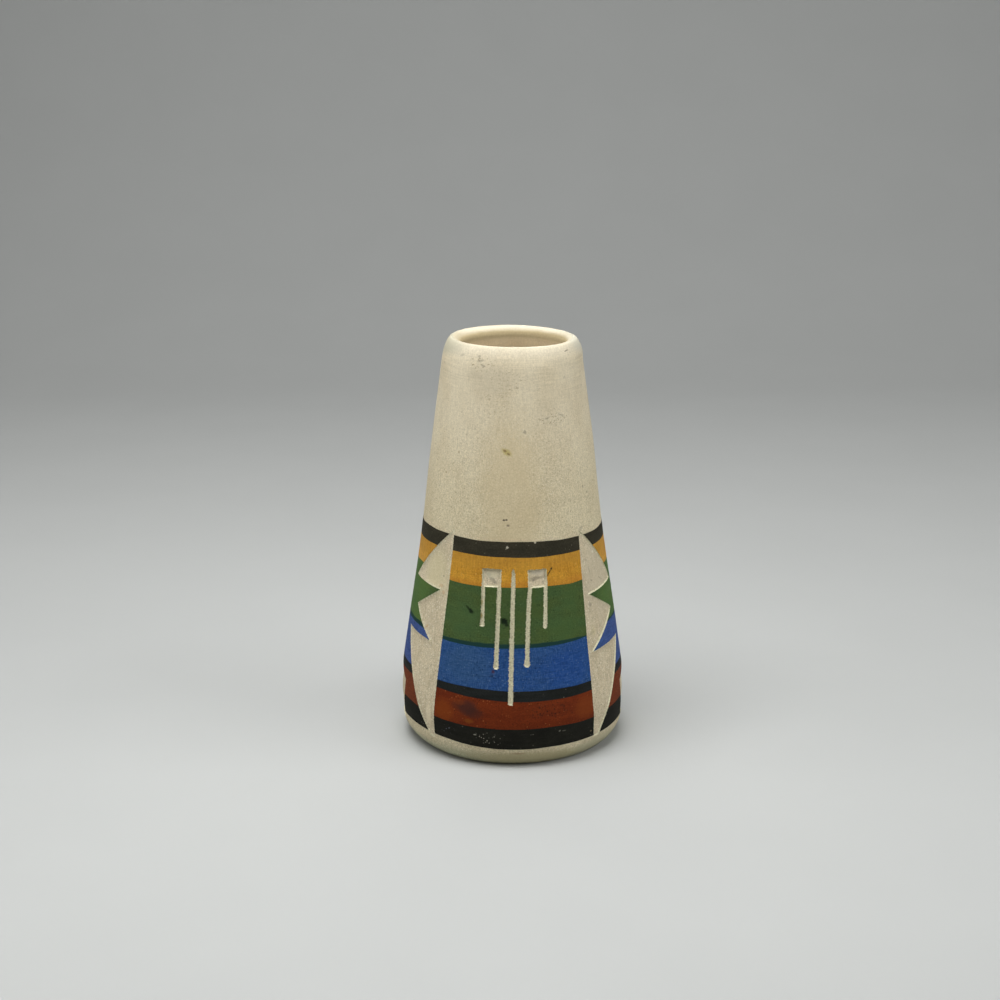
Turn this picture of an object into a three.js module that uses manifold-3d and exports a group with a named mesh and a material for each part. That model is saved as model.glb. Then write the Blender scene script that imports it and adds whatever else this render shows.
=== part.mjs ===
// Pottery vase of fired clay: one tapering, open-mouthed body with seven painted bands.
// Four serrated blades, two combs and two gabled fields are carved through the paint into the bare clay.
// Millimetres, +Z up, base on z = 0, axis through the origin, one comb faces -Y.
import * as THREE from "three";
import { mergeVertices } from "three/addons/utils/BufferGeometryUtils.js";
import Module from "manifold-3d";

const wasm = await Module();
wasm.setup();

// Body: overall height, then the outer wall as radii at four heights between foot and lip
const HEIGHT = 150;
const FOOT_RADIUS = 41.2;
const BELLY_HEIGHT = 19;
const BELLY_RADIUS = 41.7;
const LOWER_WALL_HEIGHT = 45;
const LOWER_WALL_RADIUS = 38.3;
const MIDDLE_WALL_HEIGHT = 75;
const MIDDLE_WALL_RADIUS = 33.8;
const UPPER_WALL_HEIGHT = 105;
const UPPER_WALL_RADIUS = 30.1;
const LIP_RADIUS = 25.3;

// Foot: the wall turns in on an arc until the flat base cuts it off
const FOOT_ARC_RADIUS = 11;
const FOOT_EDGE_TILT = 58;

// Lip: broad rounding outside, small rounding inside
const LIP_ROUND_HEIGHT = 9;
const LIP_ROUND_REACH = 2.3;
const MOUTH_ROUND_HEIGHT = 4;
const MOUTH_ROUND_REACH = 2.2;

// Hollow: wall and floor thickness and the rounding between them
const WALL_THICKNESS = 5.8;
const FLOOR_THICKNESS = 7;
const FLOOR_ROUND_RADIUS = 12;

// Painted bands from the bare foot upwards
const BARE_FOOT_BAND = 8;
const LOWER_BLACK_BAND = 7.5;
const RED_BAND = 10.5;
const MIDDLE_BLACK_BAND = 3.9;
const BLUE_BAND = 15.8;
const GREEN_BAND = 20.8;
const OCHRE_BAND = 10.4;
const UPPER_BLACK_BAND = 5.7;

// Coats of paint and their clearances
const COAT_THICKNESS = 0.2;
const COAT_CLEARANCE = 0.1;
const BAND_CLEARANCE = 0.2;

// Carving: depth, and how far the cuts run past the painted zone
const CARVE_DEPTH = 0.5;
const APEX_RISE = 1.5;
const FOOT_RUN_OUT = 0.5;

// Serrated blade: its straight spine, and how far round the wall (degrees) each corner reaches from it
const SPINE_TOP_ANGLE = 43.6;
const SPINE_FOOT_ANGLE = 44.8;
const BLADE_FOOT_REACH = 4;
const LOW_TIP_HEIGHT = 41.8;
const LOW_TIP_REACH = 33.8;
const LOW_NOTCH_HEIGHT = 41.2;
const LOW_NOTCH_REACH = 5.8;
const MIDDLE_TIP_HEIGHT = 52.8;
const MIDDLE_TIP_REACH = 28.2;
const HIGH_NOTCH_HEIGHT = 61.1;
const HIGH_NOTCH_REACH = 5.2;
const HIGH_TIP_HEIGHT = 62.3;
const HIGH_TIP_REACH = 36.2;
const HIGH_EDGE_BULGE = 3.2;
const HIGH_EDGE_STEPS = 8;

// Comb: two squares and five prongs, in degrees round the wall from the comb's middle
const COMB_SQUARE_HEIGHT = 6.3;
const COMB_SQUARE_DROP = 0.3;
const COMB_INNER_ANGLE = 7.6;
const COMB_OUTER_ANGLE = 19.4;
const COMB_PRONG_ANGLE = 2.5;
const OUTER_PRONG_FOOT = 51.6;
const INNER_PRONG_FOOT = 37.6;
const MIDDLE_PRONG_FOOT = 24.4;
const PRONG_POINT_HEIGHT = 1.6;

// Gabled field at the foot of each side panel
const GABLE_RIDGE_HEIGHT = 28;
const GABLE_EAVES_HEIGHT = 23.2;
const GABLE_SIDE_FOOT_HEIGHT = 17.6;
const GABLE_HALF_ANGLE = 16.7;
const GABLE_FOOT_HALF_ANGLE = 11;

// Faceting
const SEGMENTS = 60;
const WALL_STEP = 11;
const INNER_WALL_STEP = 16;
const ARC_STEPS = 5;
const LIP_STEPS = 5;
const CUT_INNER_SHARE = 0.8;
const CUT_OUTER_SHARE = 1.3;

const COLOURS = {
  clay: { colour: 0xd8ccad, roughness: 0.82 },
  black: { colour: 0x23221e, roughness: 0.6 },
  red: { colour: 0x8f3a1e, roughness: 0.66 },
  blue: { colour: 0x2c5aa0, roughness: 0.62 },
  green: { colour: 0x45603a, roughness: 0.64 },
  ochre: { colour: 0xc08c34, roughness: 0.66 },
};

const BANDS = [
  { name: "lower_black", width: LOWER_BLACK_BAND, paint: "black" },
  { name: "red", width: RED_BAND, paint: "red" },
  { name: "middle_black", width: MIDDLE_BLACK_BAND, paint: "black" },
  { name: "blue", width: BLUE_BAND, paint: "blue" },
  { name: "green", width: GREEN_BAND, paint: "green" },
  { name: "ochre", width: OCHRE_BAND, paint: "ochre" },
  { name: "upper_black", width: UPPER_BLACK_BAND, paint: "black" },
];

const radians = THREE.MathUtils.degToRad;

// Outline of the outer wall
const footTop = FOOT_ARC_RADIUS * Math.sin(radians(FOOT_EDGE_TILT));
const lipStart = HEIGHT - LIP_ROUND_HEIGHT;
const wallStations = [
  [footTop, FOOT_RADIUS],
  [BELLY_HEIGHT, BELLY_RADIUS],
  [LOWER_WALL_HEIGHT, LOWER_WALL_RADIUS],
  [MIDDLE_WALL_HEIGHT, MIDDLE_WALL_RADIUS],
  [UPPER_WALL_HEIGHT, UPPER_WALL_RADIUS],
  [lipStart, LIP_RADIUS],
];

// Slope of the wall at a station: the chord between its neighbours
function stationSlope(index) {
  const before = wallStations[Math.max(index - 1, 0)];
  const after = wallStations[Math.min(index + 1, wallStations.length - 1)];
  return (after[1] - before[1]) / (after[0] - before[0]);
}

// Outer radius at a height: foot arc, then a smooth cubic from station to station
function outerRadius(z) {
  if (z < footTop) {
    const tilt = Math.asin((footTop - z) / FOOT_ARC_RADIUS);
    return FOOT_RADIUS - FOOT_ARC_RADIUS * (1 - Math.cos(tilt));
  }
  let index = 0;
  while (index < wallStations.length - 2 && z > wallStations[index + 1][0]) index += 1;
  const [z0, r0] = wallStations[index];
  const [z1, r1] = wallStations[index + 1];
  const span = z1 - z0;
  const t = (z - z0) / span;
  const rise = (2 * t ** 3 - 3 * t ** 2 + 1) * r0 + (3 * t ** 2 - 2 * t ** 3) * r1;
  const lean = (t ** 3 - 2 * t ** 2 + t) * stationSlope(index) + (t ** 3 - t ** 2) * stationSlope(index + 1);
  return rise + lean * span;
}

// Evenly spaced heights from low to high, both ends included
function heightsBetween(low, high, step = WALL_STEP) {
  const count = Math.max(1, Math.ceil((high - low) / step));
  return Array.from({ length: count + 1 }, (_, i) => low + ((high - low) * i) / count);
}

// Band edges, bottom to top
const bandEdges = [BARE_FOOT_BAND];
for (const band of BANDS) bandEdges.push(bandEdges.at(-1) + band.width);
const paintTop = bandEdges.at(-1);

// Heights of the outer wall, sharing every band edge so that coats and clay have parallel facets
function wallHeights() {
  const marks = [...bandEdges, lipStart];
  const heights = [];
  for (let i = 0; i < ARC_STEPS; i += 1) {
    const tilt = radians(FOOT_EDGE_TILT * (1 - i / ARC_STEPS));
    const z = footTop - FOOT_ARC_RADIUS * Math.sin(tilt);
    if (z < BARE_FOOT_BAND) heights.push(z);
  }
  for (let i = 0; i < marks.length - 1; i += 1) {
    const part = heightsBetween(marks[i], marks[i + 1]);
    heights.push(...part.slice(i === 0 ? 0 : 1));
  }
  return heights;
}

// Angles of a quarter turn in equal steps, the first left out
function quarterAngles(steps) {
  return Array.from({ length: steps }, (_, i) => (((i + 1) / steps) * Math.PI) / 2);
}

// Outer rounding of the lip: the wall's own lean carried on, drawn in to the crest
function lipPoints() {
  const lean = stationSlope(wallStations.length - 1);
  return quarterAngles(LIP_STEPS).map((angle) => {
    const rise = LIP_ROUND_HEIGHT * Math.sin(angle);
    const drawnIn = LIP_ROUND_REACH * (1 - Math.cos(angle));
    return new THREE.Vector2(LIP_RADIUS + lean * rise - drawnIn, lipStart + rise);
  });
}

// Inner rounding of the lip, from the crest down into the mouth
function mouthPoints(crest) {
  return quarterAngles(LIP_STEPS).map((angle) => {
    const r = crest - MOUTH_ROUND_REACH * Math.sin(angle);
    return new THREE.Vector2(r, HEIGHT - MOUTH_ROUND_HEIGHT * (1 - Math.cos(angle)));
  });
}

// Profile of the clay: base, outer wall, lip, inner wall, floor
function bodyProfile() {
  const outer = wallHeights().map((z) => new THREE.Vector2(outerRadius(z), z));
  const lip = lipPoints();
  const mouth = mouthPoints(lip.at(-1).x);
  const floorEdge = FLOOR_THICKNESS + FLOOR_ROUND_RADIUS;
  const inner = heightsBetween(floorEdge, lipStart, INNER_WALL_STEP)
    .reverse()
    .map((z) => new THREE.Vector2(outerRadius(z) - WALL_THICKNESS, z));
  const corner = outerRadius(floorEdge) - WALL_THICKNESS - FLOOR_ROUND_RADIUS;
  const bottom = quarterAngles(ARC_STEPS).map((angle) => {
    const r = corner + FLOOR_ROUND_RADIUS * Math.cos(angle);
    return new THREE.Vector2(r, floorEdge - FLOOR_ROUND_RADIUS * Math.sin(angle));
  });
  const start = new THREE.Vector2(0, 0);
  const end = new THREE.Vector2(0, FLOOR_THICKNESS);
  return [start, ...outer, ...lip, ...mouth, ...inner, ...bottom, end];
}

// Closed solid from a three.js geometry, without the zero-area triangles at the axis
function toSolid(geometry) {
  geometry.deleteAttribute("normal");
  geometry.deleteAttribute("uv");
  const welded = mergeVertices(geometry, 1e-5);
  const index = welded.index.array;
  const corners = [];
  for (let i = 0; i < index.length; i += 3) {
    const [a, b, c] = [index[i], index[i + 1], index[i + 2]];
    if (a !== b && b !== c && c !== a) corners.push(a, b, c);
  }
  const mesh = new wasm.Mesh({
    numProp: 3,
    vertProperties: new Float32Array(welded.attributes.position.array),
    triVerts: new Uint32Array(corners),
  });
  return new wasm.Manifold(mesh);
}

// Solid of revolution about Z, with azimuth 0 at -Y and counted towards +X
function turned(profile) {
  const geometry = new THREE.LatheGeometry(profile, SEGMENTS);
  geometry.rotateX(Math.PI / 2);
  return toSolid(geometry);
}

// Ring of paint over one band
function bandRing(low, high) {
  const heights = heightsBetween(low, high);
  heights[0] += BAND_CLEARANCE / 2;
  heights[heights.length - 1] -= BAND_CLEARANCE / 2;
  const inside = COAT_CLEARANCE;
  const outside = COAT_CLEARANCE + COAT_THICKNESS;
  const outer = heights.map((z) => new THREE.Vector2(outerRadius(z) + outside, z));
  const inner = heights.map((z) => new THREE.Vector2(outerRadius(z) + inside, z)).reverse();
  return turned([...outer, ...inner, outer[0]]);
}

// Everything deeper than the carving, over the carved zone
function carvingCore() {
  const low = new THREE.Vector2(0, 0);
  const high = new THREE.Vector2(0, lipStart);
  const wall = wallHeights().map((z) => new THREE.Vector2(outerRadius(z) - CARVE_DEPTH, z));
  return turned([low, ...wall, high]);
}

// Outline with extra points, so that no step spans more than one facet of the wall
function refined(outline) {
  const step = 360 / SEGMENTS;
  const points = [];
  outline.forEach(([a0, z0], i) => {
    const [a1, z1] = outline[(i + 1) % outline.length];
    const count = Math.max(1, Math.ceil(Math.abs(a1 - a0) / step));
    for (let k = 0; k < count; k += 1) {
      const t = k / count;
      points.push(new THREE.Vector2(a0 + (a1 - a0) * t, z0 + (z1 - z0) * t));
    }
  });
  return points;
}

// Radial cut through the wall, from an outline of [azimuth, height] points
function radialCut(outline) {
  const shape = new THREE.Shape(refined(outline));
  const geometry = new THREE.ExtrudeGeometry(shape, { depth: 1, bevelEnabled: false });
  const position = geometry.attributes.position;
  for (let i = 0; i < position.count; i += 1) {
    const azimuth = radians(position.getX(i));
    const z = position.getY(i);
    const share = position.getZ(i) > 0.5 ? CUT_OUTER_SHARE : CUT_INNER_SHARE;
    const r = outerRadius(z) * share;
    position.setXYZ(i, r * Math.sin(azimuth), -r * Math.cos(azimuth), z);
  }
  return toSolid(geometry);
}

// Outline turned round the vase, and its mirror image across the front
const shifted = (outline, angle) => outline.map(([a, z]) => [a + angle, z]);
const mirrored = (outline) => outline.map(([a, z]) => [-a, z]).reverse();

const footLine = BARE_FOOT_BAND - FOOT_RUN_OUT;
const apexLine = paintTop + APEX_RISE;

// Azimuth of the blade's spine at a height
function spineAngle(z) {
  return SPINE_FOOT_ANGLE + ((SPINE_TOP_ANGLE - SPINE_FOOT_ANGLE) * (z - footLine)) / (apexLine - footLine);
}

// Serrated blade: straight spine, three teeth, the top one with a bulging upper edge
function bladeOutline() {
  const corner = (z, reach) => [spineAngle(z) + reach, z];
  const apex = corner(apexLine, 0);
  const highTip = corner(HIGH_TIP_HEIGHT, HIGH_TIP_REACH);
  const edge = new THREE.QuadraticBezierCurve(
    new THREE.Vector2(...highTip),
    new THREE.Vector2((highTip[0] + apex[0]) / 2, (highTip[1] + apex[1]) / 2 + HIGH_EDGE_BULGE),
    new THREE.Vector2(...apex),
  );
  return [
    corner(footLine, 0),
    corner(footLine, BLADE_FOOT_REACH),
    corner(LOW_TIP_HEIGHT, LOW_TIP_REACH),
    corner(LOW_NOTCH_HEIGHT, LOW_NOTCH_REACH),
    corner(MIDDLE_TIP_HEIGHT, MIDDLE_TIP_REACH),
    corner(HIGH_NOTCH_HEIGHT, HIGH_NOTCH_REACH),
    ...edge.getPoints(HIGH_EDGE_STEPS).map((p) => [p.x, p.y]),
  ];
}

// Right half of the comb: a square with its two prongs
function combOutline() {
  const squareFoot = bandEdges[5] - COMB_SQUARE_DROP;
  const squareTop = squareFoot + COMB_SQUARE_HEIGHT;
  return [
    [COMB_INNER_ANGLE, INNER_PRONG_FOOT],
    [COMB_INNER_ANGLE + COMB_PRONG_ANGLE, INNER_PRONG_FOOT],
    [COMB_INNER_ANGLE + COMB_PRONG_ANGLE, squareFoot],
    [COMB_OUTER_ANGLE - COMB_PRONG_ANGLE, squareFoot],
    [COMB_OUTER_ANGLE - COMB_PRONG_ANGLE, OUTER_PRONG_FOOT],
    [COMB_OUTER_ANGLE, OUTER_PRONG_FOOT],
    [COMB_OUTER_ANGLE, squareTop],
    [COMB_INNER_ANGLE, squareTop],
  ];
}

// Middle prong of the comb, pointed at the top
function middleProngOutline() {
  const top = bandEdges[5] - COMB_SQUARE_DROP + COMB_SQUARE_HEIGHT;
  const half = COMB_PRONG_ANGLE / 2;
  return [
    [-half, MIDDLE_PRONG_FOOT],
    [half, MIDDLE_PRONG_FOOT],
    [half, top - PRONG_POINT_HEIGHT],
    [0, top],
    [-half, top - PRONG_POINT_HEIGHT],
  ];
}

// Gabled field, centred on azimuth zero
function gableOutline() {
  return [
    [-GABLE_FOOT_HALF_ANGLE, footLine],
    [GABLE_FOOT_HALF_ANGLE, footLine],
    [GABLE_HALF_ANGLE, GABLE_SIDE_FOOT_HEIGHT],
    [GABLE_HALF_ANGLE, GABLE_EAVES_HEIGHT],
    [0, GABLE_RIDGE_HEIGHT],
    [-GABLE_HALF_ANGLE, GABLE_EAVES_HEIGHT],
    [-GABLE_HALF_ANGLE, GABLE_SIDE_FOOT_HEIGHT],
  ];
}

// All carved figures: the half pattern and the same turned half way round
function carvedFigures() {
  const blade = bladeOutline();
  const comb = combOutline();
  const half = [
    blade,
    mirrored(blade),
    comb,
    mirrored(comb),
    middleProngOutline(),
    shifted(gableOutline(), 90),
  ];
  return [...half, ...half.map((outline) => shifted(outline, 180))];
}

const cuts = wasm.Manifold.union(carvedFigures().map(radialCut));

// Mesh with its own material from a finished solid
function toMesh(solid, name, finish) {
  const result = solid.getMesh();
  const geometry = new THREE.BufferGeometry();
  geometry.setAttribute("position", new THREE.BufferAttribute(result.vertProperties, 3));
  geometry.setIndex(new THREE.BufferAttribute(result.triVerts, 1));
  geometry.computeVertexNormals();
  const material = new THREE.MeshStandardMaterial({
    color: finish.colour,
    roughness: finish.roughness,
    metalness: 0,
  });
  const mesh = new THREE.Mesh(geometry, material);
  mesh.name = name;
  return mesh;
}

// Azimuth in degrees of the middle of a piece's box, from -180 to 180
function middleAzimuth(solid) {
  const box = solid.boundingBox();
  const x = (box.min[0] + box.max[0]) / 2;
  const y = (box.min[1] + box.max[1]) / 2;
  return THREE.MathUtils.radToDeg(Math.atan2(x, -y));
}

// Painted fields of one half of the vase: the comb panel and the panel to its right
function paintedFields() {
  const fields = [];
  BANDS.forEach((band, i) => {
    const ring = bandRing(bandEdges[i], bandEdges[i + 1]).subtract(cuts);
    const pieces = ring.decompose().map((solid) => ({ solid, azimuth: middleAzimuth(solid) }));
    pieces.sort((a, b) => a.azimuth - b.azimuth);
    const panels = {
      comb: pieces.filter((p) => Math.abs(p.azimuth) < SPINE_TOP_ANGLE),
      gable: pieces.filter((p) => Math.abs(p.azimuth - 90) < SPINE_TOP_ANGLE),
    };
    for (const [panel, list] of Object.entries(panels)) {
      list.forEach((piece, k) => {
        const tag = list.length > 1 ? `${band.name}_${k + 1}` : band.name;
        fields.push({ panel, tag, paint: band.paint, solid: piece.solid });
      });
    }
  });
  return fields;
}

const vase = new THREE.Group();
vase.name = "pottery_vase";

const pockets = cuts.subtract(carvingCore());
const clay = turned(bodyProfile()).subtract(pockets);
vase.add(toMesh(clay, "vase_body", COLOURS.clay));

const fields = paintedFields();
const halves = [
  { name: "front_half", turn: 0, panels: { comb: "front", gable: "right" } },
  { name: "back_half", turn: Math.PI, panels: { comb: "back", gable: "left" } },
];
for (const half of halves) {
  const group = new THREE.Group();
  group.name = half.name;
  group.rotation.z = half.turn;
  for (const field of fields) {
    group.add(toMesh(field.solid, `${half.panels[field.panel]}_${field.tag}`, COLOURS[field.paint]));
  }
  vase.add(group);
}

export default vase;
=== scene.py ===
"""Pottery vase: bisque clay body with carved pockets, and fields of brushed paint between them.

The body is one closed mesh. Each painted field is a thin closed coat on it, one for each CAD field.
Lengths are millimetres and angles are degrees until a mesh is made.
Azimuth 0 faces -Y, positive towards +X.
"""

import math

import bpy
import numpy as np
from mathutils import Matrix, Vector
from mathutils.geometry import delaunay_2d_cdt


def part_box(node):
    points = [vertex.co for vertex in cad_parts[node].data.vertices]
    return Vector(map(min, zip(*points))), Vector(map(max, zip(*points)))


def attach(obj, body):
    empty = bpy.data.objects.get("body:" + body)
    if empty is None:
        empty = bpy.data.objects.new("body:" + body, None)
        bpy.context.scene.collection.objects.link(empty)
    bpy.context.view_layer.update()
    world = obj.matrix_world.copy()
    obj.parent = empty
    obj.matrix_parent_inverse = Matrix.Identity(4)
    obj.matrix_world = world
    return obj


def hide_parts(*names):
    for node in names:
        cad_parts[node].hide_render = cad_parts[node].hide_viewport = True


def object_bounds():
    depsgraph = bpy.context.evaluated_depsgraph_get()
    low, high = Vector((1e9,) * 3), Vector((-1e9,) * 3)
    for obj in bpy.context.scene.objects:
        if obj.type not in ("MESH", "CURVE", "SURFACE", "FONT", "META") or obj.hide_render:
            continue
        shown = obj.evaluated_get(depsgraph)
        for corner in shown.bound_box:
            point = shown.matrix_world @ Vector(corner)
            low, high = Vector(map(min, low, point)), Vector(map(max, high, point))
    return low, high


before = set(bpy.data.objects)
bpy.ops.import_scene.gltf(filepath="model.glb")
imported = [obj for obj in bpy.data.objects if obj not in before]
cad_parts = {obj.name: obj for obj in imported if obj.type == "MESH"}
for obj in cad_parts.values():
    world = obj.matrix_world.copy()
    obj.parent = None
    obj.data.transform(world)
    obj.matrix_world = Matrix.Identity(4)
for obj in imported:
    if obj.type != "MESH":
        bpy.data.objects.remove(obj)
cad_low, cad_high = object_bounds()

MM = 0.001
HEIGHT = cad_high.z / MM

# Outer wall as [height, radius] stations, with the foot arc below and the lip rounding above
WALL_STATIONS = [[19, 41.7], [45, 38.2], [75, 33.65], [105, 30.1]]
FOOT_RADIUS = 41.2
FOOT_ARC_RADIUS = 11
FOOT_EDGE_TILT = 58
LIP_RADIUS = 25.3
LIP_ROUND_HEIGHT = 9
LIP_ROUND_REACH = 2.45
MOUTH_ROUND_HEIGHT = 3.5
MOUTH_ROUND_REACH = 2.9
WALL_THICKNESS = 5.8
FLOOR_THICKNESS = 7
FLOOR_ROUND_RADIUS = 12

# Carving and paint
BLADE_DEPTH = 0.34
GABLE_DEPTH = 0.56
PRONG_DEPTH = 0.34
SCOOP_DEPTH = 0.32
CARVE_WALL_RUN = 0.3
PAINT_FOOT = 0.02
PAINT_TOP = 0.1
PAINT_EDGE_TOP = 0.07
LINE_WANDER = 0.07

# The hand's unevenness: the upper wall leans, the mouth is off centre, the rim dips on the right,
# where the lip is fuller, and the foot is drawn in on the left
LEAN = -0.4
LEAN_FROM = 60
MOUTH_SHIFT = 0.6
RIM_DIP = 0.45
WALL_FULL = 0.35
WALL_FULL_RISE = 20
LIP_FULL = 0.6
LIP_FULL_RISE = 5
FULL_FROM = 95
FULL_INSIDE = 19.5
FULL_FADE = 3
FOOT_DRAW = 0.8
FOOT_DRAW_AZIMUTH = -62
FOOT_DRAW_SPAN = 50
FOOT_DRAW_TOP = 13

# Fineness of the meshes
SEGMENTS = 240
BASE_STEP = 3
FOOT_STEP = 0.45
UPPER_STEP = 1.8
LIP_COUNT = 22
MOUTH_COUNT = 14
CORNER_COUNT = 12
FLOOR_STEP = 4
BLADE_STEP = 0.28
PRONG_STEP = 0.15
WALL_RINGS = [1.1, 0.4, -0.35, -0.68, -1, -1.7]
LINE_STEP = 0.7
FIELD_STEP = 1.15
ROW_SHARE = 0.866
PLANE_SCALE = 0.65
SEAM_AZIMUTH = 30
LEFT_SEAM = (SEAM_AZIMUTH - 360) * PLANE_SCALE
RIGHT_SEAM = SEAM_AZIMUTH * PLANE_SCALE
PATCH_LOW = 6.3
PATCH_HIGH = 86.2

# The grid's points keep this far from the outlines, the lines and the seam, and no point touches a line
OUTLINE_CLEAR = 0.75
LINE_CLEAR = 0.5
SEAM_CLEAR = 0.3
LINE_TOUCH = 0.04

# Fewer triangles than this between two cuts hold no paint
SLIVER = 40

# Painted highlight: lighter clay shows this far in from a pocket's edge, and all over the combs' prongs
HIGHLIGHT_BAND = 0.46
SQUARE_FOOT = 66.25

# Kinds of triangle that hold no paint, and the places of the clay's materials in its list
# The last kind holds a painted highlight: lighter clay near the pockets' edges and on the prongs
BARE, POCKET_FLOOR, HIGHLIT_CUT = -1, -2, -3
WALL, CARVED, INSIDE, LIT_CUT = range(4)

PAINTS = ["lower_black", "red", "middle_black", "blue", "green", "ochre", "upper_black"]
PANELS = {"front": 0, "right": 90, "back": 180, "left": -90}


def band_nodes(panel, paint):
    """CAD nodes of one painted band on one panel, from left to right."""
    stem = f"{panel}_{paint}"
    return sorted(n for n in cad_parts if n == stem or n[:-2] == stem)


def band_edges():
    """Heights between the painted bands, from the frame: the middle of the gap between neighbours."""
    boxes = [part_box(band_nodes("right", paint)[0]) for paint in PAINTS]
    lows = [low.z / MM for low, high in boxes]
    highs = [high.z / MM for low, high in boxes]
    gap = lows[1] - highs[0]
    between = [(high + low) / 2 for high, low in zip(highs, lows[1:])]
    return [lows[0] - gap / 2, *between, highs[-1] + gap / 2]


EDGES = band_edges()

# Drift of each hand-drawn line from its even height, in millimetres, at these azimuths
DRIFT_AZIMUTHS = [-110, -70, -40, -20, 0, 20, 40, 70, 110]
LINE_DRIFTS = [
    [0, 2.2, 1.0, -0.15, -0.6, -0.2, 0.1, 0.75, 0],
    [0, 2.9, 0.65, 0.25, -0.05, 0.25, -0.15, 1.8, 0],
    [0, 1.8, 1.35, 0.2, -0.45, -0.5, -0.15, 1.4, 0],
    [0, 0.9, 0.4, 0.15, -0.3, -0.5, -0.65, 0.2, 0],
    [0, 1.0, -0.7, -1.05, -0.9, -0.8, -0.1, 1.8, 0],
    [0, 2.7, 0, 0.05, -0.1, -0.1, -0.6, 1.8, 0],
    [0, 0.7, 0.55, 0.4, 0.2, 0, -0.1, 0, 0],
    [0, 0.7, 0.3, -0.1, 0.05, -0.2, -0.5, -0.75, 0],
]


# Profile of the vase

FOOT_TOP = FOOT_ARC_RADIUS * math.sin(math.radians(FOOT_EDGE_TILT))
LIP_START = HEIGHT - LIP_ROUND_HEIGHT
STATIONS = np.array([[FOOT_TOP, FOOT_RADIUS], *WALL_STATIONS, [LIP_START, LIP_RADIUS]])


def station_slopes():
    """Slope of the wall at each station: the chord between its neighbours."""
    padded = np.concatenate([STATIONS[:1], STATIONS, STATIONS[-1:]])
    chord = padded[2:] - padded[:-2]
    return chord[:, 1] / chord[:, 0]


SLOPES = station_slopes()


def outer_radius(z):
    """Radius of the outer wall: the foot arc, then a smooth cubic from station to station."""
    z = np.asarray(z, float)
    i = np.clip(np.searchsorted(STATIONS[:, 0], z, side="right") - 1, 0, len(STATIONS) - 2)
    span = STATIONS[i + 1, 0] - STATIONS[i, 0]
    t = (z - STATIONS[i, 0]) / span
    rise = (2 * t**3 - 3 * t**2 + 1) * STATIONS[i, 1] + (3 * t**2 - 2 * t**3) * STATIONS[i + 1, 1]
    lean = (t**3 - 2 * t**2 + t) * SLOPES[i] + (t**3 - t**2) * SLOPES[i + 1]
    sine = np.clip((FOOT_TOP - z) / FOOT_ARC_RADIUS, 0, 1)
    foot = FOOT_RADIUS - FOOT_ARC_RADIUS * (1 - np.sqrt(1 - sine**2))
    return np.where(z < FOOT_TOP, foot, rise + lean * span)


def eased(t):
    """Smooth step from 0 to 1."""
    t = np.clip(t, 0, 1)
    return t * t * (3 - 2 * t)


def wrapped(angle):
    """Angle brought between -180 and 180."""
    return (angle + 180) % 360 - 180


def uneven(points):
    """Points with the hand's unevenness added."""
    x, y, z = np.asarray(points, float).T
    azimuth = np.degrees(np.arctan2(x, -y))
    right = np.maximum(np.sin(np.radians(azimuth)), 0)
    near = eased(1 - np.abs(azimuth - FOOT_DRAW_AZIMUTH) / FOOT_DRAW_SPAN)
    drawn = 1 - FOOT_DRAW / FOOT_RADIUS * near * eased(1 - z / FOOT_DRAW_TOP)
    lean = LEAN * np.clip((z - LEAN_FROM) / (HEIGHT - LEAN_FROM), 0, 1)
    dip = RIM_DIP * eased((z - LIP_START) / LIP_ROUND_HEIGHT) * right
    wall_fuller = WALL_FULL * eased((z - FULL_FROM) / WALL_FULL_RISE)
    fuller = wall_fuller + LIP_FULL * eased((z - LIP_START) / LIP_FULL_RISE)
    full = fuller * eased((np.hypot(x, y) - FULL_INSIDE) / FULL_FADE) * right**2
    return np.stack([x * drawn + lean + full, y * drawn, z - dip], 1)


def steps(low, high, step):
    """Evenly spaced values from low to high, both ends included."""
    return np.linspace(low, high, max(1, math.ceil(abs(high - low) / step)) + 1)


def quarter(count):
    """Angles of a quarter turn in equal steps, zero left out."""
    return np.linspace(0, math.pi / 2, count + 1)[1:]


def wall_points(heights, inset=0):
    """[radius, height] on the outer wall, or that far inside it."""
    return [[float(outer_radius(z)) - inset, z] for z in heights]


def lower_profile():
    """[radius, height] from the middle of the base to the foot of the decorated zone."""
    base = [[r, 0] for r in steps(0, float(outer_radius(0)), BASE_STEP)[1:]]
    return base + wall_points(steps(0, PATCH_LOW, FOOT_STEP)[1:])


def upper_profile():
    """[radius, height] from the top of the decorated zone over the lip to the middle of the floor."""
    wall = wall_points(steps(PATCH_HIGH, LIP_START, UPPER_STEP))
    lip = []
    for angle in quarter(LIP_COUNT):
        rise = LIP_ROUND_HEIGHT * math.sin(angle)
        drawn_in = LIP_ROUND_REACH * (1 - math.cos(angle))
        lip.append([LIP_RADIUS + SLOPES[-1] * rise - drawn_in, LIP_START + rise])
    crest = lip[-1][0]
    mouth = []
    for angle in quarter(MOUTH_COUNT):
        drop = MOUTH_ROUND_HEIGHT * (1 - math.cos(angle))
        mouth.append([crest - MOUTH_ROUND_REACH * math.sin(angle), HEIGHT - drop])
    floor_edge = FLOOR_THICKNESS + FLOOR_ROUND_RADIUS
    inner = wall_points(steps(LIP_START, floor_edge, BASE_STEP), WALL_THICKNESS)
    corner = inner[-1][0] - FLOOR_ROUND_RADIUS
    rounding = []
    for angle in quarter(CORNER_COUNT):
        r = corner + FLOOR_ROUND_RADIUS * math.cos(angle)
        rounding.append([r, floor_edge - FLOOR_ROUND_RADIUS * math.sin(angle)])
    floor = [[r, FLOOR_THICKNESS] for r in steps(corner, 0, FLOOR_STEP)[1:-1]]
    return wall + lip + mouth + inner + rounding + floor


# Carved figures, as outlines of [azimuth, height] points

FOOT_LINE = EDGES[0] - 0.5
BLADE_TOP = EDGES[-1] + 1.5


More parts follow.
